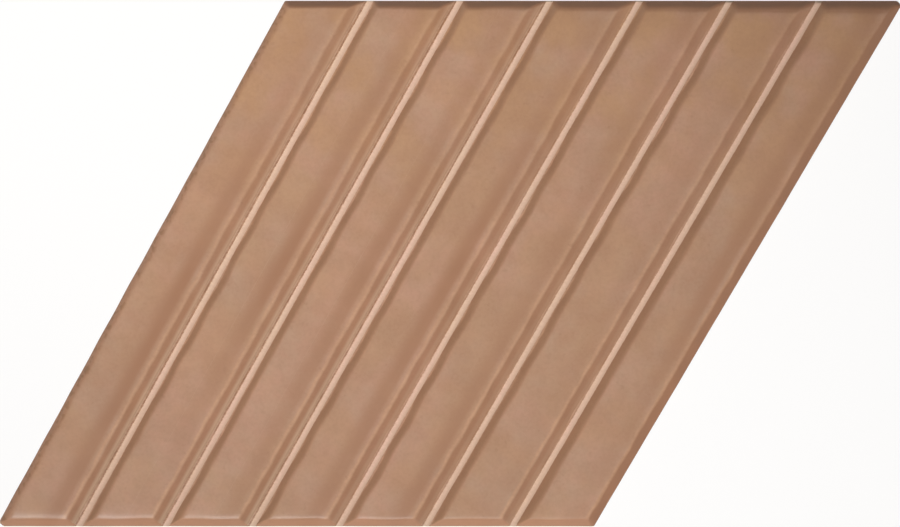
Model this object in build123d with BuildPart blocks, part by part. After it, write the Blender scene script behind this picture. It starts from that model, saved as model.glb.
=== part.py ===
from build123d import *
import os
from math import cos, radians, sin

# Glazed ceramic wall tile: a rhombus, pressed and fired as one piece. Its face is divided into
# parallel bars by bevelled grooves, and a pale joint strip lies recessed along each groove floor.
# Every bar has the same section: a steep shoulder on its left and a wider bevel on its right.
# Millimetres and degrees. The origin is the centre of the back, +X runs along the two end edges,
# the bars slant from them at the acute angle, and +Z points out of the glazed face.

# Body
side = 152.0                   # edge of the rhombus, the same on all four sides
acute_angle = 60.0             # between the end edges and the bars
thickness = 9.0                # back to bar face
acute_corner_radius = 1.2
obtuse_corner_radius = 0.5
back_bevel_width = 0.8         # relief round the back, so that the face edge is the widest
back_bevel_height = 1.5

# Bars and grooves
bar_count = 7
joint_width = 2.0              # strip between two bars, measured square to the bars
joint_recess = 0.3             # strip below the foot of the bevels
bevel_drop = 1.9               # all bevels round a bar end at one level
left_bevel_width = 1.8         # steep shoulder, measured square to the bars, as is the next
right_bevel_width = 2.7
end_bevel_width = 2.4          # measured square to the end edges
lip_radius = 1.4               # rounding between a bar face and the bevels around it

# Keyed back: a lattice of shallow cells for the adhesive, with ribs between them
key_cells = 6                  # along each edge, an even number keeps a rib crossing at the centre
key_border = 8.0               # plain rim, measured square to the edge
key_rib = 3.0                  # measured square to the rib
key_depth = 0.8
key_corner_radius = 2.0
key_draft = 15.0               # lean of the cell walls, so that the press releases them

# Directions and derived sizes
slant = radians(acute_angle)
along_end = Vector(1, 0, 0)
along_bar = Vector(cos(slant), sin(slant), 0)
square_to_bar = Vector(sin(slant), -cos(slant), 0)
across = side * sin(slant)
bar_width = (across - (bar_count - 1) * joint_width) / bar_count
bar_pitch = bar_width + joint_width
cell_pitch = (side - 2 * key_border / sin(slant)) / key_cells
cell_side = cell_pitch - key_rib / sin(slant)
bars_section = Plane(origin=(0, 0, 0), x_dir=square_to_bar, z_dir=-along_bar)
across_bars = Axis(origin=(0, 0, 0), direction=square_to_bar)


def rhombus(edge):
    """Corner points of a rhombus about the origin, anticlockwise from the near acute corner."""
    half_end = along_end * edge / 2
    half_bar = along_bar * edge / 2
    return [-half_end - half_bar, half_end - half_bar, half_end + half_bar, half_bar - half_end]


# One groove in section: x square to the bars, y up from the back. The right side of one bar is
# the left side of the groove.
joint_edge = joint_width / 2
bevel_foot = thickness - bevel_drop
joint_floor = bevel_foot - joint_recess
with BuildSketch() as groove:
    with BuildLine():
        Polyline(
            (-joint_edge - right_bevel_width, thickness),
            (-joint_edge, bevel_foot),
            (-joint_edge, joint_floor),
            (joint_edge, joint_floor),
            (joint_edge, bevel_foot),
            (joint_edge + left_bevel_width, thickness),
            close=True,
        )
    make_face()

# One cell of the keyed back
with BuildSketch() as cell:
    with BuildLine():
        Polyline(*rhombus(cell_side), close=True)
    make_face()
    fillet(cell.vertices(), key_corner_radius)

groove_centres = [(index - bar_count / 2) * bar_pitch for index in range(1, bar_count)]
cell_steps = [index - (key_cells - 1) / 2 for index in range(key_cells)]
cell_centres = [
    (along_end * column + along_bar * row) * cell_pitch for row in cell_steps for column in cell_steps
]

with BuildPart() as tile:
    # Pressed blank with its bevelled edges and eased corners
    with BuildSketch() as outline:
        with BuildLine():
            Polyline(*rhombus(side), close=True)
        make_face()
    extrude(amount=thickness)
    face = tile.faces().sort_by(Axis.Z)[-1]
    chamfer(face.edges().filter_by(Axis.X), end_bevel_width, bevel_drop, reference=face)
    face = tile.faces().sort_by(Axis.Z)[-1]
    chamfer(face.edges().sort_by(across_bars)[0], left_bevel_width, bevel_drop, reference=face)
    face = tile.faces().sort_by(Axis.Z)[-1]
    chamfer(face.edges().sort_by(across_bars)[-1], right_bevel_width, bevel_drop, reference=face)
    back = tile.faces().sort_by(Axis.Z)[0]
    chamfer(back.edges(), back_bevel_width, back_bevel_height, reference=back)
    fillet(tile.edges().filter_by(Axis.Z).sort_by(Axis.X)[1:3], obtuse_corner_radius)
    fillet(tile.edges().filter_by(Axis.Z).sort_by(Axis.X)[0::5], acute_corner_radius)

    # Grooves from end to end, then the rounded lips of the bar faces they leave
    with BuildSketch(bars_section):
        with Locations(*[(centre, 0) for centre in groove_centres]):
            add(groove.sketch)
    extrude(amount=side, both=True, mode=Mode.SUBTRACT)
    fillet(tile.faces().group_by(Axis.Z)[-1].edges(), lip_radius)

    # Keyed back
    with BuildSketch():
        with Locations(*cell_centres):
            add(cell.sketch)
    extrude(amount=key_depth, taper=key_draft, mode=Mode.SUBTRACT)

tile.part.label = "tile"
os.makedirs("parts", exist_ok=True)
export_step(tile.part, "parts/tile.step")
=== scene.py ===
import math

import bpy
import numpy as np
from mathutils import Matrix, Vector
from mathutils.geometry import tessellate_polygon


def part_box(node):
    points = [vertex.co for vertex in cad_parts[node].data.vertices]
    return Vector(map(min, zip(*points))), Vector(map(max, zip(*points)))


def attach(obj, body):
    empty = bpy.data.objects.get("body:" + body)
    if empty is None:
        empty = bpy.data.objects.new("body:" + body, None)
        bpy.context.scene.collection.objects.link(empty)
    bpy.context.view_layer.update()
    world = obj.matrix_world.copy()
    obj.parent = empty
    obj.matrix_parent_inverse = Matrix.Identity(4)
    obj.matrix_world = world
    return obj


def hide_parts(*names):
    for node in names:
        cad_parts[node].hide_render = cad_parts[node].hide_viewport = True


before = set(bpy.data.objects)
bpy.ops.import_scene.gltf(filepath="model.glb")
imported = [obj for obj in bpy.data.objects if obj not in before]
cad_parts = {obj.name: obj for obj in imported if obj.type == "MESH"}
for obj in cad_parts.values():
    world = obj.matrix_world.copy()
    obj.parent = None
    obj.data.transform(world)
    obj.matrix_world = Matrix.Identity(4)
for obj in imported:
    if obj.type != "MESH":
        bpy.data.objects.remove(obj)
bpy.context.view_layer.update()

# The tile's plan. The tile is one piece of clay, pressed in a die and fired: a rhombus with equal
# sides, whose bars slant at its acute angle from one end edge to the other. Its four corners are
# eased, the two long points more than the others.
mm = 0.001
slant = math.radians(60)
tile_low, tile_high = (np.array(corner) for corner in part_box("tile"))
thickness = tile_high[2]
across = tile_high[1] - tile_low[1]
end_normal = np.array([0.0, 1.0])
bar_normal = np.array([math.sin(slant), -math.cos(slant)])
acute_radius = 1.2 * mm
obtuse_radius = 0.5 * mm


def from_distances(square_to_bar, square_to_end):
    """Plan points from their distances off the two middle lines. The second is y itself, and x
    is the first, divided by the sine of the slant, plus y over its tangent."""
    x = square_to_bar / math.sin(slant) + square_to_end / math.tan(slant)
    return np.stack([x, square_to_end + 0 * x], axis=-1)


def ease_corners(points, inset):
    """Points of the plan, drawn in by the inset, with its four corners rounded. In the wedge
    between a corner's two normals, seen from the centre of its arc, a point moves towards that
    centre, by the ratio of its distance square to the nearer edge to its straight distance."""
    half = across / 2 - inset
    for end_sign in (1, -1):
        for bar_sign in (1, -1):
            radius = acute_radius if end_sign == bar_sign else obtuse_radius
            first, second = end_sign * end_normal, bar_sign * bar_normal
            cosine = first @ second
            middle = (half - radius) * (first + second) / (1 + cosine)
            arm = points - middle
            wedge = (arm @ (first - second * cosine) > 0) & (arm @ (second - first * cosine) > 0)
            square = np.maximum(arm @ first, arm @ second)
            length = np.maximum(np.linalg.norm(arm, axis=-1), 1e-9)
            eased = middle + arm * (square / length)[..., None]
            points = np.where(wedge[..., None], eased, points)
    return points


# The face in relief. Seven bars, each with a steep soft shoulder on its left and a wider crisp
# bevel on its right, stand between the joint strips. The glaze lies over them in one skin: it sags
# between the lips, rounds them over, and ends in a roll beside each strip.
bar_count = 7
joint_width = 2.0 * mm
bevel_drop = 1.9 * mm
left_bevel_width = 1.8 * mm
right_bevel_width = 2.55 * mm
bar_pitch = (across + joint_width) / bar_count
bar_width = bar_pitch - joint_width
flat_width = bar_width - left_bevel_width - right_bevel_width
joint_centres = (np.arange(1, bar_count) - bar_count / 2) * bar_pitch

# The bevels round the whole tile. A pair of numbers is for its left side and its right side.
outer_left_width = 1.4 * mm
outer_right_width = 2.8 * mm
outer_right_drop = 2.35 * mm
near_bevel_width = 2.5 * mm
near_slope = 0.88
far_bevel_width = (1.85 * mm, 2.85 * mm)
far_slope = 1.045

# How softly the glaze rounds the lips, and how far it droops towards the two ends
soft_blend = 0.9 * mm
crisp_blend = 0.35 * mm
outer_left_blend = 1.9 * mm
outer_right_blend = 0.5 * mm
near_blend = 0.32 * mm
near_droop = 0.15 * mm
near_droop_reach = 1.1 * mm
far_blend = (0.45 * mm, 1.2 * mm)
far_droop = (0.05 * mm, 0.38 * mm)
far_droop_reach = 1.4 * mm

# How the glaze lies: the dish of a bar, its waves, the waver of the bevels, and the roll and the
# ragged edge beside each strip. Places across a joint are counted from its middle to the right.
dish_depth = 0.06 * mm
wave_height = 0.03 * mm
wave_lengths = (47 * mm, 29 * mm, 21 * mm)
wave_seed = 8
waver = 0.26 * mm
waver_lengths = (31 * mm, 13 * mm, 7 * mm)
waver_seeds = (3, 11, 12)
roll_height = 0.12 * mm
roll_of_joint = np.array([1.0, 1.0, 0.9, 0.35, 0.3, 0.3])
roll_place = -1.35 * mm
roll_reach = 0.38 * mm
glaze_edge_left = -0.63 * mm
glaze_edge_right = 0.82 * mm
glaze_edge_slope = 0.06 * mm
ragged = 0.05 * mm
ragged_lengths = (5.3 * mm, 3.1 * mm, 2.2 * mm)
ragged_seed = 5
strip_recess = 0.3 * mm


def smooth_min(first, second, blend):
    """The lower of two heights, rounded where they cross, by a quarter of blend at most."""
    overlap = np.maximum(blend - np.abs(first - second), 0) / blend
    return np.minimum(first, second) - overlap**2 * blend / 4


def smooth_step(share):
    """0 below 0 and 1 above 1, by the cubic 3 s squared less 2 s cubed between them."""
    share = np.clip(share, 0, 1)
    return share * share * (3 - 2 * share)


def waves(first, second, lengths, seed):
    """A gentle unevenness from -1 to 1: the mean of plane sine waves of the given lengths, each
    turned and shifted by a seeded draw."""
    draw = np.random.default_rng(seed)
    total = 0
    for length in lengths:
        turn, shift = draw.uniform(0, 2 * np.pi, 2)
        total = total + np.sin(
            (first * math.cos(turn) + second * math.sin(turn)) * 2 * np.pi / length + shift
        )
    return total / len(lengths)


def bells(places, centres, reach):
    """The sum of bell curves of one width at the given centres."""
    return np.exp(-(((places[..., None] - np.array(centres)) / reach) ** 2)).sum(-1)


def crowd_across(places):
    """Grid lines gather at the lips, in the grooves, at the rolls, at the outer edges, and most of
    all at the edges of the glaze. Each gathering has its centres, its strength and its reach."""
    right_lips = joint_centres - joint_width / 2 - right_bevel_width
    left_lips = joint_centres + joint_width / 2 + left_bevel_width
    edges = np.concatenate([joint_centres + glaze_edge_left, joint_centres + glaze_edge_right])
    outer = [-across / 2, -across / 2 + left_bevel_width, across / 2 - right_bevel_width, across / 2]
    gatherings = [
        (np.concatenate([right_lips, left_lips]), 5, 0.7 * mm),
        (edges, 24, 0.12 * mm),
        (joint_centres + roll_place, 5, 0.4 * mm),
        (joint_centres, 3, 2.4 * mm),
        (outer, 5, 0.7 * mm),
    ]
    return sum(strength * bells(places, centres, reach) for centres, strength, reach in gatherings)


def crowd_along(places):
    """Grid lines gather at the two end edges and at the lips beside them."""
    strength, reach = 8, 1.0 * mm
    lip = across / 2 - near_bevel_width
    return strength * bells(places, [-across / 2, -lip, lip, across / 2], reach)


def from_left_to_right(square_to_bar, values):
    """A value that grows evenly over the tile, from its left side to its right side."""
    return values[0] + (values[1] - values[0]) * np.clip(square_to_bar / across + 0.5, 0, 1)


def relief(square_to_bar, square_to_end):
    """Height of the face, how far a point lies to the right of the nearest joint's centre, how far
    it lies to the left of its bar's right lip, and the joint's number. The height is the smooth
    lowest of the bar's dished and drooping face and its bevels, plus the roll of glaze at its
    right foot. The side bevels are planes through the bar's feet, and the end bevels are planes
    through its lips. Between the edges of the glaze the height drops to the strip."""
    number = np.clip(np.round(square_to_bar / bar_pitch + bar_count / 2), 1, bar_count - 1)
    off = square_to_bar - (number - bar_count / 2) * bar_pitch
    from_first = square_to_bar + (across + joint_width) / 2
    bar = np.clip(np.floor(from_first / bar_pitch), 0, bar_count - 1)
    from_foot = from_first - bar * bar_pitch - joint_width / 2
    before_lip = bar_width - right_bevel_width - from_foot

    waver_left, waver_right, waver_end = (
        waver * waves(square_to_bar, square_to_end, waver_lengths, seed) for seed in waver_seeds
    )
    left_width = np.where(bar == 0, outer_left_width, left_bevel_width)
    right_width = np.where(bar == bar_count - 1, outer_right_width, right_bevel_width)
    right_drop = np.where(bar == bar_count - 1, outer_right_drop, bevel_drop)
    left = ((from_foot + waver_left) / left_width - 1) * bevel_drop
    right = ((bar_width - from_foot + waver_right) / right_width - 1) * right_drop
    far = square_to_end > 0
    from_far_lip = across / 2 - square_to_end - from_left_to_right(square_to_bar, far_bevel_width)
    from_near_lip = across / 2 + square_to_end - near_bevel_width
    ends = np.where(far, from_far_lip * far_slope, from_near_lip * near_slope) + waver_end / 2
    end_blend = np.where(far, from_left_to_right(square_to_bar, far_blend), near_blend)
    share = np.clip((from_foot - left_bevel_width) / flat_width, 0, 1)
    dish = dish_depth * 4 * share * (1 - share)
    droop = near_droop * np.exp(-np.maximum(from_near_lip, 0) / near_droop_reach)
    droop_at_far = from_left_to_right(square_to_bar, far_droop)
    droop = droop + droop_at_far * np.exp(-np.maximum(from_far_lip, 0) / far_droop_reach)
    uneven = wave_height * (waves(square_to_bar, square_to_end, wave_lengths, wave_seed) - 1)
    left_blend = np.where(bar == 0, outer_left_blend, soft_blend)
    height = smooth_min(uneven - dish - droop, left, left_blend)
    right_blend = np.where(bar == bar_count - 1, outer_right_blend, crisp_blend)
    height = smooth_min(height, right, right_blend)
    roll = roll_height * np.exp(-(((off - roll_place) / roll_reach) ** 2))
    roll = roll * roll_of_joint[number.astype(int) - 1]
    height = smooth_min(np.maximum(height + roll, -right_drop), ends, end_blend)

    past_edge = np.maximum(glaze_edge_left - off, off - glaze_edge_right)
    past_edge += ragged * waves(square_to_bar, square_to_end, ragged_lengths, ragged_seed)
    glazed = smooth_step(past_edge / glaze_edge_slope + 0.5)
    strip = np.minimum(-bevel_drop - strip_recess, ends)
    return thickness + strip + (height - strip) * glazed, off, before_lip, number


def spaced(half_width, count, crowding, samples=40001):
    """Places from -half_width to half_width, closer together where crowding is high. They are
    equal steps of the running sum of 1 + crowding, taken over many samples and read back."""
    fine = np.linspace(-half_width, half_width, samples)
    running = np.concatenate([[0.0], np.cumsum(1 + crowding((fine[1:] + fine[:-1]) / 2))])
    return np.interp(np.linspace(0, running[-1], count + 1), running, fine)


# The grid of the face ends where the rounding of the rim begins.
rim_radius = 0.35 * mm
rim_lean = math.atan(far_slope)
rim_inset = rim_radius * (1 - math.sin(rim_lean))
half_face = across / 2 - rim_inset
steps_across = 400
steps_along = 150
lines_across = spaced(half_face, steps_across, crowd_across)
lines_along = spaced(half_face, steps_along, crowd_along)
face_across, face_along = np.meshgrid(lines_across, lines_along)
face_height, face_off, face_before_lip, face_joint = relief(face_across, face_along)
end_rise, face_rise = np.gradient(face_height, lines_along, lines_across)
face_plan = ease_corners(from_distances(face_across, face_along), rim_inset)

# The walls. Below the glazed rim they drop straight to the back, where the die leaves a narrow
# bevel. They are drawn as rings, each of them the rim's outline scaled, because a rhombus drawn in
# evenly keeps its shape.
back_bevel_width = 0.8 * mm
back_bevel_height = 1.5 * mm
back_edge = 0.15 * mm
rim_steps = 5
wall_steps = (0.15, 0.5, 0.85, 1.0)
rows, columns = face_across.shape
index = np.arange(rows * columns).reshape(rows, columns)


def border(grid):
    """The outer points of a grid, once round, anticlockwise from its first."""
    return np.concatenate([grid[0, :-1], grid[:-1, -1], grid[-1, :0:-1], grid[:0:-1, 0]])


rim = border(index)
rim_plan = face_plan.reshape(-1, 2)[rim]
rim_height = face_height.reshape(-1)[rim]


def ring(inset, height):
    """The outline at one level, drawn in from the wall, with a height for each of its points."""
    scale = (across - 2 * inset) / (across - 2 * rim_inset)
    return np.column_stack([rim_plan * scale, height + 0 * rim_height])


# From the top down: the rounding of the rim, the straight wall, the bevel of the back with its
# two eased edges, and a narrow level band that keeps the plain rim of the back flat
rings = []
for step in range(1, rim_steps + 1):
    lean = (math.pi / 2 - rim_lean) * (1 - step / rim_steps)
    drop = rim_radius * (math.cos(rim_lean) - math.sin(lean))
    rings.append(ring(rim_radius * (1 - math.cos(lean)), rim_height - drop))
wall_top = rings[-1][:, 2]
wall_foot = back_bevel_height + back_edge
for share in wall_steps:
    rings.append(ring(0.0, wall_top + (wall_foot - wall_top) * share))
edge_inset = back_edge * back_bevel_width / back_bevel_height
rings.append(ring(edge_inset, back_bevel_height - back_edge))
rings.append(ring(back_bevel_width - edge_inset, back_edge))
rings.append(ring(back_bevel_width + back_edge, 0.0))
rings.append(ring(back_bevel_width + 3 * back_edge, 0.0))

# The keyed back. The press leaves a plain rim and a lattice of shallow cells with leaning walls,
# which grip the adhesive. It is bare fired clay, as the walls are.
key_cells = 6
key_border = 8.0 * mm
key_rib = 3.0 * mm
key_depth = 0.8 * mm
key_corner = 1.0 * mm
key_draft = math.radians(15)
key_wall = key_depth * math.tan(key_draft)
key_pitch = (across - 2 * key_border) / key_cells
key_half = key_pitch * key_cells / 2
cell_half = (key_pitch - key_rib) / 2


def crowd_cells(places):
    """Grid lines gather at the cells' walls."""
    strength, reach = 30, 0.35 * mm
    centres = (np.arange(key_cells) - (key_cells - 1) / 2) * key_pitch
    walls = np.concatenate([centres - cell_half, centres + cell_half])
    return strength * bells(places, walls, reach)


def key_relief(square_to_bar, square_to_end):
    """Height of the back: the cell's depth where a point is further inside its cell than the
    wall is wide, and a ramp before that. The distance inside is the smooth lower of the two
    distances to the cell's edges, so that its corners are round."""
    inside = []
    for distance in (square_to_bar, square_to_end):
        cell = (distance + key_half) / key_pitch
        inside.append(cell_half - np.abs(cell - np.floor(cell) - 0.5) * key_pitch)
    return key_depth * smooth_step(smooth_min(inside[0], inside[1], key_corner) / key_wall)


steps_back = 130
lines_back = spaced(key_half, steps_back, crowd_cells)
back_across, back_along = np.meshgrid(lines_back, lines_back)
back_height = key_relief(back_across, back_along)
back_plan = from_distances(back_across, back_along)

# The fired body, as one closed skin: the face's grid, the rings of the walls, the back's grid,
# and the plain rim of the back, which is cut into triangles between the last ring and the grid.
# For that the rim is turned a little, because edges along X leave triangles without area.
face_points = np.column_stack([face_plan.reshape(-1, 2), face_height.reshape(-1)])
back_points = np.column_stack([back_plan.reshape(-1, 2), back_height.reshape(-1)])
points = np.concatenate([face_points, *rings, back_points])
back_index = len(points) - back_across.size + np.arange(back_across.size).reshape(back_across.shape)
loops = [rim] + [
    len(face_points) + len(rim) * step + np.arange(len(rim)) for step in range(len(rings))
]


def grid_quads(numbers):
    """Four corners of each cell of a grid of point numbers, anticlockwise seen from above."""
    corners = [numbers[:-1, :-1], numbers[:-1, 1:], numbers[1:, 1:], numbers[1:, :-1]]
    return np.stack(corners, axis=-1).reshape(-1, 4)


wall_quads = [
    np.stack([upper, lower, np.roll(lower, -1), np.roll(upper, -1)], axis=-1)
    for upper, lower in zip(loops, loops[1:])
]
quads = np.concatenate([grid_quads(index), *wall_quads, grid_quads(back_index)[:, ::-1]])
rim_loops = (loops[-1], border(back_index))
rim_turn = np.array(Matrix.Rotation(math.radians(15), 3, "Z"))
turned_loops = [(points[loop] @ rim_turn.T).tolist() for loop in rim_loops]
rim_triangles = np.concatenate(rim_loops)[np.array(tessellate_polygon(turned_loops))]
first_edge, second_edge = (
    points[rim_triangles[:, corner], :2] - points[rim_triangles[:, 0], :2] for corner in (1, 2)
)
upward = first_edge[:, 0] * second_edge[:, 1] - first_edge[:, 1] * second_edge[:, 0] > 0
rim_triangles[upward] = rim_triangles[upward][:, ::-1]

tile_mesh = bpy.data.meshes.new("tile_fired")
tile_mesh.from_pydata(points.tolist(), [], quads.tolist() + rim_triangles.tolist())
tile_mesh.polygons.foreach_set("use_smooth", np.ones(len(tile_mesh.polygons), bool))
tile_mesh.set_sharp_from_angle(angle=math.radians(40))

# What the finish follows is kept on the points: in millimetres how far they lie from the nearest
# strip's middle, across it and left of the bar's right lip, and as shares how strongly the crease by
# that strip shows its painted shadow, roll and highlight streak, how much glaze has pooled, and how
# steep the face is to the right and lengthwise.

# The glaze pooled on each bar, from the left: at its near end, in its middle and at its far end
pool_near = np.array([1.0, 0.2, 0.5, 0.9, 0.9, 0.2, 0.2])
pool_middle = np.array([1.2, 1.2, 1.1, 1.2, 0.5, 0.4, 1.0])
pool_far = np.array([0.4, 0.5, 0.4, 0.4, 0.5, 0.35, 0.6])
pool_ends = 50 * mm
out_of_reach = 50.0
face_bar = np.floor((face_across + (across + joint_width) / 2) / bar_pitch).astype(int)
face_bar = np.clip(face_bar, 0, bar_count - 1)
nearness = np.clip(-face_along / pool_ends, 0, 1)
farness = np.clip(face_along / pool_ends, 0, 1)
pooled = pool_near[face_bar] * nearness + pool_far[face_bar] * farness
pooled = pooled + pool_middle[face_bar] * (1 - nearness - farness)
strip_middle = (glaze_edge_left + glaze_edge_right) / 2
patterns = {
    "from_strip": np.abs(face_off - strip_middle) / mm,
    "over_strip": (face_off - strip_middle) / mm,
    "before_lip": face_before_lip / mm,
    "crease": roll_of_joint[face_joint.astype(int) - 1] * (face_off < 0),
    "pooled": pooled,
    "rise": face_rise,
    "end_steep": np.abs(end_rise),
}
for name, pattern in patterns.items():
    values = np.concatenate([pattern.reshape(-1), *[pattern.reshape(-1)[rim]] * len(rings)])
    values = np.concatenate([values, np.full(len(back_points), out_of_reach)])
    attribute = tile_mesh.attributes.new(name, "FLOAT", "POINT")
    attribute.data.foreach_set("value", values.astype(np.float32))

# The finish is laid out on a square map. The face has most of it, the four walls lie over it as
# bands, and the back has a small square beside it.
face_share = 0.74
back_share = 0.24
margin = 0.005
band = 0.05
plan_map = np.concatenate([face_across[..., None], face_along[..., None]], axis=-1).reshape(-1, 2)
face_corners = margin + (plan_map[grid_quads(index)] / across + 0.5) * face_share
shares = [np.arange(count) / count for count in (columns - 1, rows - 1) * 2]
starts = np.concatenate(shares)
ends = np.concatenate([share + 1 / len(share) for share in shares])
bands = np.concatenate([np.full(len(share), number) for number, share in enumerate(shares)])
left, right = margin + starts * face_share, margin + ends * face_share
wall_corners = []
for step in range(len(rings)):
    upper = face_share + 3 * margin + bands * (band + 2 * margin) + band * step / len(rings)
    lower = upper + band / len(rings)
    wall_corners.append(
        np.stack([left, upper, left, lower, right, lower, right, upper], axis=-1).reshape(-1, 4, 2)
    )


def back_map(numbers):
    """Places on the map for points of the back, by their distances off the middle lines."""
    x, y = points[numbers][..., 0], points[numbers][..., 1]
    square_to_bar = (x - y / math.tan(slant)) * math.sin(slant)
    plan = np.stack([square_to_bar, y], axis=-1) / across + 0.5
    return np.array([face_share + 3 * margin, margin]) + plan * back_share


map_corners = [face_corners, *wall_corners, back_map(grid_quads(back_index)[:, ::-1])]
map_corners = [corners.reshape(-1, 2) for corners in (*map_corners, back_map(rim_triangles))]
surface_map = tile_mesh.uv_layers.new(name="OFBake")
surface_map.data.foreach_set("uv", np.concatenate(map_corners).reshape(-1).astype(np.float32))

tile = bpy.data.objects.new("tile_fired", tile_mesh)
bpy.context.scene.collection.objects.link(tile)
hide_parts("tile")
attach(tile, "root")


# The finish. A satin glaze of clay pink, clouded a little towards olive, covers the bars, the
# bevels and the top of the walls, and pools darker behind each right lip. The joint strips have a
# pale matt coat, and the walls and the back are bare biscuit.
class Value:
    """A shader socket that can be used in sums, products, differences and quotients."""

    def __init__(self, finish, socket):
        self.finish = finish
        self.socket = socket

    def _maths(self, operation, *values):
        return self.finish.add("ShaderNodeMath", {"operation": operation}, values)

    def __add__(self, other):
        return self._maths("ADD", self, other)

    def __radd__(self, other):
        return self._maths("ADD", other, self)

    def __sub__(self, other):
        return self._maths("SUBTRACT", self, other)

    def __rsub__(self, other):
        return self._maths("SUBTRACT", other, self)

    def __mul__(self, other):
        return self._maths("MULTIPLY", self, other)

    def __rmul__(self, other):
        return self._maths("MULTIPLY", other, self)

    def __truediv__(self, other):
        return self._maths("DIVIDE", self, other)

    def __rtruediv__(self, other):
        return self._maths("DIVIDE", other, self)

    def __abs__(self):
        return self._maths("ABSOLUTE", self)

    def ramp(self, low, high):
        """0 at low and 1 at high, smooth between them. High may be the lower number."""
        settings = {"interpolation_type": "SMOOTHSTEP"}
        values = {"Value": self, "From Min": low, "From Max": high}
        return self.finish.add("ShaderNodeMapRange", settings, values)

    def bell(self, centre, reach):
        """1 at the centre, falling to 0 at the reach on either side."""
        return abs(self - centre).ramp(reach, 0.0)

    def clear(self):
        """Noise drawn apart, so that it runs all the way from 0 to 1."""
        return self.ramp(0.35, 0.65)


class Finish:
    """A tree of shader nodes, with one method that adds any node."""

    def __init__(self, owner):
        owner.use_nodes = True
        self.tree = owner.node_tree
        self.tree.nodes.clear()

    def add(self, kind, settings=None, values=None, output=0):
        """Adds a node: its settings first, then the values or links of its sockets."""
        node = self.tree.nodes.new(kind)
        for name, setting in (settings or {}).items():
            setattr(node, name, setting)
        pairs = values.items() if isinstance(values, dict) else enumerate(values or ())
        for name, value in pairs:
            if isinstance(value, Value):
                self.tree.links.new(value.socket, node.inputs[name])
            else:
                node.inputs[name].default_value = value
        return Value(self, node.outputs[output]) if node.outputs else None

    def noise(self, place, scale, detail=2.0, roughness=0.5):
        """Cloudy noise from about 0.2 to 0.8, with so many clouds to the metre."""
        values = {"Vector": place, "Scale": scale, "Detail": detail, "Roughness": roughness}
        return self.add("ShaderNodeTexNoise", {"noise_dimensions": "3D"}, values)

    def mix(self, share, first, second):
        """A colour between two. The node's sockets for colours are those numbered 6 and 7, and
        its output numbered 2."""
        return self.add("ShaderNodeMix", {"data_type": "RGBA"}, {0: share, 6: first, 7: second}, 2)

    def attribute(self, name):
        """What the mesh keeps on its points under a name."""
        return self.add("ShaderNodeAttribute", {"attribute_name": name}, output="Fac")

    def seen_straight(self):
        """1 where the camera looks straight at it, in a mirror or through glass, and 0 for the
        light that it gives off."""
        kinds = ("Is Camera Ray", "Is Glossy Ray", "Is Singular Ray")
        camera, glossy, singular = (self.add("ShaderNodeLightPath", output=kind) for kind in kinds)
        return self.add("ShaderNodeMath", {"operation": "MINIMUM"}, [camera + glossy + singular, 1.0])


def srgb(red, green, blue):
    """A colour for a socket from the 0 to 255 numbers of a screen colour."""
    channels = np.array([red, green, blue]) / 255
    linear = np.where(channels <= 0.04045, channels / 12.92, ((channels + 0.055) / 1.055) ** 2.4)
    return (*linear.tolist(), 1.0)


glaze_pink = srgb(187, 144, 120)
glaze_olive = srgb(180, 146, 121)
glaze_pool = srgb(158, 114, 86)
glaze_fleck = srgb(157, 116, 90)
glaze_tan = srgb(180, 139, 104)
glaze_thin = srgb(170, 121, 91)
# Painted shade of the left shoulders
painted_shoulder_shade = srgb(168, 132, 103)
# Paler glaze of the right lips, with a painted highlight
glaze_lip_and_highlight = srgb(201, 157, 124)
# Pale roll, partly a paler glaze and partly a painted highlight
glaze_roll_and_highlight = srgb(187, 154, 127)
# Painted shadow of the crease beside each strip
painted_crease_shadow = srgb(118, 84, 64)
glaze_edge = srgb(132, 96, 62)
coat_pink = srgb(221, 187, 166)
coat_cream = srgb(218, 188, 163)
# Darker grain of the coat, also used for its painted shadow and the painted highlight streak
coat_grain_and_painted_light = srgb(196, 162, 140)
biscuit_pale = srgb(226, 212, 194)
biscuit_shade = srgb(212, 196, 176)

# Where a point lies, in millimetres, and what it keeps
tile_material = bpy.data.materials.new("fired_tile")
finish = Finish(tile_material)
place = finish.add("ShaderNodeTexCoord", output="Object")
height = finish.add("ShaderNodeSeparateXYZ", values=[place], output="Z") / mm
along = finish.add("ShaderNodeSeparateXYZ", values=[place], output="Y") / mm
toward_far = along.ramp(-60.0, 60.0)
from_strip = finish.attribute("from_strip")
over_strip = finish.attribute("over_strip")
off_strip = over_strip + (glaze_edge_left + glaze_edge_right) / 2 / mm
before_lip = finish.attribute("before_lip")
crease = finish.attribute("crease")
pooled = finish.attribute("pooled")
rise = finish.attribute("rise")
end_steep = finish.attribute("end_steep")

# Clouds, from broad to fine
blotch = finish.noise(place, 48.0, 2.0)
clouds = finish.noise(place, 55.0, 3.0, 0.55)
warmth = finish.noise(place, 80.0, 3.0)
mottle = finish.noise(place, 130.0, 3.0, 0.6)
ripple = finish.noise(place, 230.0, 1.0)
tint = finish.noise(place, 290.0, 2.0)
speck = finish.noise(place, 620.0, 1.0)
biscuit_grain = finish.noise(place, 900.0, 4.0, 0.65)
grain = finish.noise(place, 1300.0, 2.0)
coat_grain = finish.noise(place, 1700.0, 3.0, 0.7)


def near_to_far(near, far):
    """A share that changes from one at the near end of the bars to another at their far end."""
    return near + toward_far * (far - near)


# The glaze by itself is clouded from pink to olive, and to tan, most of all in its far half.
hue = blotch.clear() * 0.6 + tint.clear() * 0.4
glaze = finish.mix(hue, glaze_pink, glaze_olive)
tan_share = 0.5 + along.ramp(0.0, 60.0) * 0.5
glaze = finish.mix(warmth.clear() * tan_share, glaze, glaze_tan)

# It pools darker behind the right lips, in drifts of no even width.
drift = before_lip + (clouds - 0.5) * 3.0
pool = drift.ramp(7.0, 2.9) * before_lip.ramp(0.7, 2.2) + drift.ramp(14.0, 5.0) * 0.2
glaze = finish.mix(pool * pooled * (0.35 + clouds * 0.65), glaze, glaze_pool)
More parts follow.
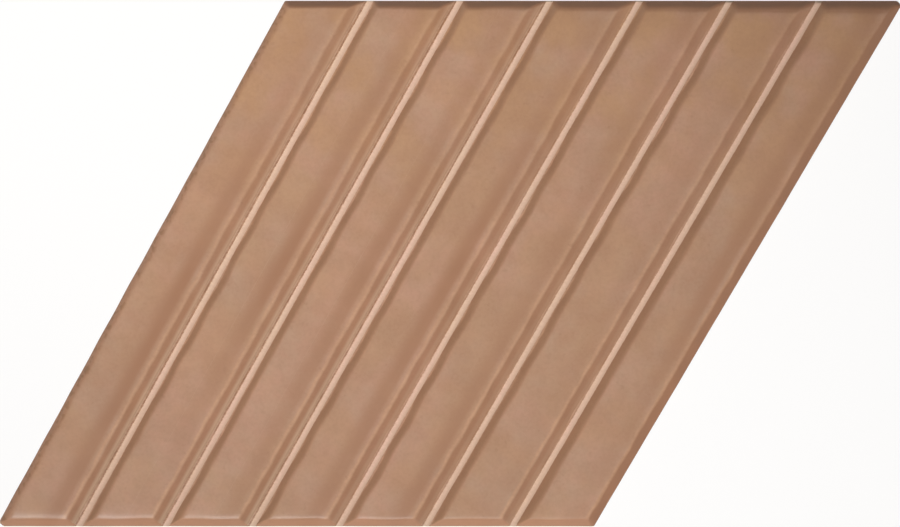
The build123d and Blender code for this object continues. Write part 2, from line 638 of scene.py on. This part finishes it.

# On the slopes it runs thin and browner, more so on the outer right bevel, and the left shoulders
# beside the strips, which face away from the key light, get a painted shade.
outer = from_strip.ramp(8.0, 12.0)
beside_strip = from_strip.ramp(6.0, 4.0)
end_bevel = end_steep.ramp(0.1, 0.6)
not_on_end = 1 - end_bevel
thin_share = near_to_far(0.65, 0.5) + rise.ramp(-0.2, -0.6) * outer * 0.35
thin = abs(rise).ramp(0.2, 0.7) * thin_share + end_bevel * 0.75
glaze = finish.mix(thin, glaze, glaze_thin)
# Painted shade on the left shoulders beside the strips
glaze = finish.mix(rise.ramp(0.3, 0.9) * beside_strip * 0.6, glaze, painted_shoulder_shade)

# The right lips are paler, in a line that wavers: partly the glaze breaking paler over them, partly a
# painted highlight, stronger at the near end of the bars.
lip_place = 0.25
lip_reach = 0.75
wavy_lip = before_lip + (ripple - 0.5) * 0.9
# Paler lips with a painted highlight
lip = wavy_lip.bell(lip_place, lip_reach) * near_to_far(0.74, 0.28) * not_on_end
glaze = finish.mix(lip, glaze, glaze_lip_and_highlight)

# Fine flecks lie all over, and darker specks on the outer left shoulder.
flecks = clouds.clear() * 0.12 + mottle.ramp(0.3, 0.7) * 0.28
flecks = flecks + grain.ramp(0.35, 0.7) * 0.16 + speck.ramp(0.70, 0.76) * 0.15
glaze = finish.mix(flecks, glaze, glaze_fleck)
edge_specks = rise.ramp(0.1, 0.9) * outer * speck.ramp(0.48, 0.64) * 0.5
glaze = finish.mix(edge_specks, glaze, glaze_edge)

# Left of each strip come the pale roll, partly a paler glaze and partly a painted highlight, a thin
# painted highlight streak in the coat's darker colour, and the dotted painted shadow of the crease.
roll_middle = -1.5
roll_width = 0.95
highlight_streak_place = -1.15
crease_place = -0.84
line_reach = 0.18
dots = grain.ramp(0.4, 0.6)
roll = off_strip.bell(roll_middle, roll_width) * crease.ramp(0.0, 0.7)
# Pale roll: paler glaze with a painted highlight
glaze = finish.mix(roll * near_to_far(0.85, 0.4) * not_on_end, glaze, glaze_roll_and_highlight)
# Painted highlight streak along the roll's crest
highlight_streak = off_strip.bell(highlight_streak_place, line_reach) * crease * (0.8 - dots * 0.5)
glaze = finish.mix(highlight_streak * not_on_end, glaze, coat_grain_and_painted_light)
# Painted shadow in the crease
crease_shadow = off_strip.bell(crease_place, line_reach) * crease * (0.2 + dots * 0.5)
glaze = finish.mix(crease_shadow * not_on_end, glaze, painted_crease_shadow)

# The coat of the strips is grainy, and has a painted shadow along its right edge, below the bar's
# shoulder.
coat = finish.mix(blotch.clear(), coat_pink, coat_cream)
coat = finish.mix(coat_grain.clear() * 0.42, coat, coat_grain_and_painted_light)
# Painted shadow along the strip's right edge
coat = finish.mix(over_strip.ramp(-0.4, 0.8), coat, coat_grain_and_painted_light)
biscuit = finish.mix(biscuit_grain.ramp(0.3, 0.7), biscuit_pale, biscuit_shade)

# Coat, glaze and biscuit meet in ragged edges: the coat ends below the strips' open ends, and the
# glaze a little way down the walls. Heights are in millimetres above the back.
coat_half = (glaze_edge_right - glaze_edge_left) / 2 / mm
coat_blur = 0.06
coat_foot = 5.9
glaze_foot = 5.0
foot_blur = 0.3
ragged_side = from_strip + (coat_grain - 0.5) * 0.4
on_strip = ragged_side.ramp(coat_half + coat_blur, coat_half - coat_blur)
on_strip = on_strip * height.ramp(coat_foot, coat_foot + foot_blur)
glazed = (height + clouds * 2.2).ramp(glaze_foot, glaze_foot + foot_blur)
colour = finish.mix(glazed, biscuit, glaze)
colour = finish.mix(on_strip, colour, coat)
bare = 1 - (1 - on_strip) * glazed

# The glaze shines softly over a rippled skin, and the coat and the biscuit are rough and dull.
surface_grain = grain * (1 - bare) * 0.4 + ripple * 3.0 + coat_grain * bare * 2.0
bumps = {"Strength": 0.35, "Distance": 0.05 * mm, "Height": surface_grain}
shader = finish.add(
    "ShaderNodeBsdfPrincipled",
    values={
        "Base Color": colour,
        "Roughness": 0.62 + 0.25 * bare,
        "Specular IOR Level": 0.2,
        "Coat Weight": (0.14 + speck * 0.17) * (1 - bare),
        "Coat Roughness": 0.2,
        "Normal": finish.add("ShaderNodeBump", values=bumps),
    },
)
finish.add("ShaderNodeOutputMaterial", values={"Surface": shader})
tile_mesh.materials.append(tile_material)

# The floor. It is a plain sheet that looks white to the camera and in reflections, throws a greyer
# light back on the tile, and keeps a little of the tile's soft shadow.
floor_half = 12.0
floor_level = -0.05 * mm
floor_glow = 0.86
floor_corners = [(-1, -1), (1, -1), (1, 1), (-1, 1)]
floor_points = [(x * floor_half, y * floor_half, floor_level) for x, y in floor_corners]
floor_mesh = bpy.data.meshes.new("floor")
floor_mesh.from_pydata(floor_points, [], [(0, 1, 2, 3)])
floor = bpy.data.objects.new("floor", floor_mesh)
bpy.context.scene.collection.objects.link(floor)
floor_material = bpy.data.materials.new("floor_sheet")
sheet = Finish(floor_material)
seen = sheet.seen_straight()
paper_colour = sheet.mix(seen, srgb(185, 184, 183), srgb(252, 251, 250))
paper = sheet.add("ShaderNodeBsdfDiffuse", values={"Color": paper_colour})
white = sheet.add("ShaderNodeEmission", values={"Color": srgb(255, 254, 253), "Strength": 1.0})
shown = sheet.add("ShaderNodeMixShader", values=[seen * floor_glow, paper, white])
sheet.add("ShaderNodeOutputMaterial", values={"Surface": shown})
floor_mesh.materials.append(floor_material)

# Studio light. A broad softbox and two soft spots stand beyond the near end of the bars, a little
# to the left. The wider spot's pool fades towards the far right corner, and the other lifts the
# near right one. A small softbox on the right catches the lips, and the room fills the rest.
room_light = 0.02
world = bpy.data.worlds.new("studio")
bpy.context.scene.world = world
room = Finish(world)
strength = room_light + room.seen_straight() * (1.0 - room_light)
sky = room.add("ShaderNodeBackground", values={"Color": (1.0, 1.0, 1.0, 1.0), "Strength": strength})
room.add("ShaderNodeOutputWorld", values={"Surface": sky})


def hang_lamp(name, kind, position, target, **settings):
    """A lamp at a position, turned about X and then Z to face a target."""
    lamp = bpy.data.lights.new(name, kind)
    for setting, value in settings.items():
        setattr(lamp, setting, value)
    stand = bpy.data.objects.new(name, lamp)
    bpy.context.scene.collection.objects.link(stand)
    away = np.array(position) - np.array(target)
    pitch = math.acos(away[2] / np.linalg.norm(away))
    turn = math.atan2(away[1], away[0]) + math.pi / 2
    stand.location = position
    stand.rotation_euler = (pitch, 0.0, turn)
    return stand


middle = (0.0, 0.0, thickness)
box_place = (-0.75, -1.47, 2.68)
hang_lamp("softbox", "AREA", box_place, middle, shape="RECTANGLE", size=1.5, size_y=0.5, energy=51.0)
pools = [(322.0, 7.9, (-0.073, 0.086, thickness)), (290.0, 4.1, (0.083, -0.090, thickness))]
for energy, spread, target in pools:
    spot = hang_lamp(
        "soft_spot",
        "SPOT",
        box_place,
        target,
        energy=energy,
        spot_size=math.radians(spread),
        spot_blend=1.0,
        shadow_soft_size=0.11,
    )
    spot.visible_glossy = False
hang_lamp("lip_light", "AREA", (0.80, -0.80, 1.60), middle, size=0.5, energy=0.8)

# The camera looks down on the tile, almost square to it, from beyond its middle and to the right of
# it. Its lens is shifted back towards the tile's middle.
camera_data = bpy.data.cameras.new("camera")
camera_data.sensor_width = 36.0
camera_data.lens = 60.0
camera_data.shift_x = -0.1344
camera_data.shift_y = 0.0504
camera_data.clip_start = 0.01
camera = bpy.data.objects.new("camera", camera_data)
camera.location = (0.0331, 0.0277, 0.3807)
camera.rotation_euler = (math.radians(-5.789), math.radians(0.142), math.radians(-0.029))
bpy.context.scene.collection.objects.link(camera)
bpy.context.scene.camera = camera
bpy.context.scene.view_settings.view_transform = "Standard"
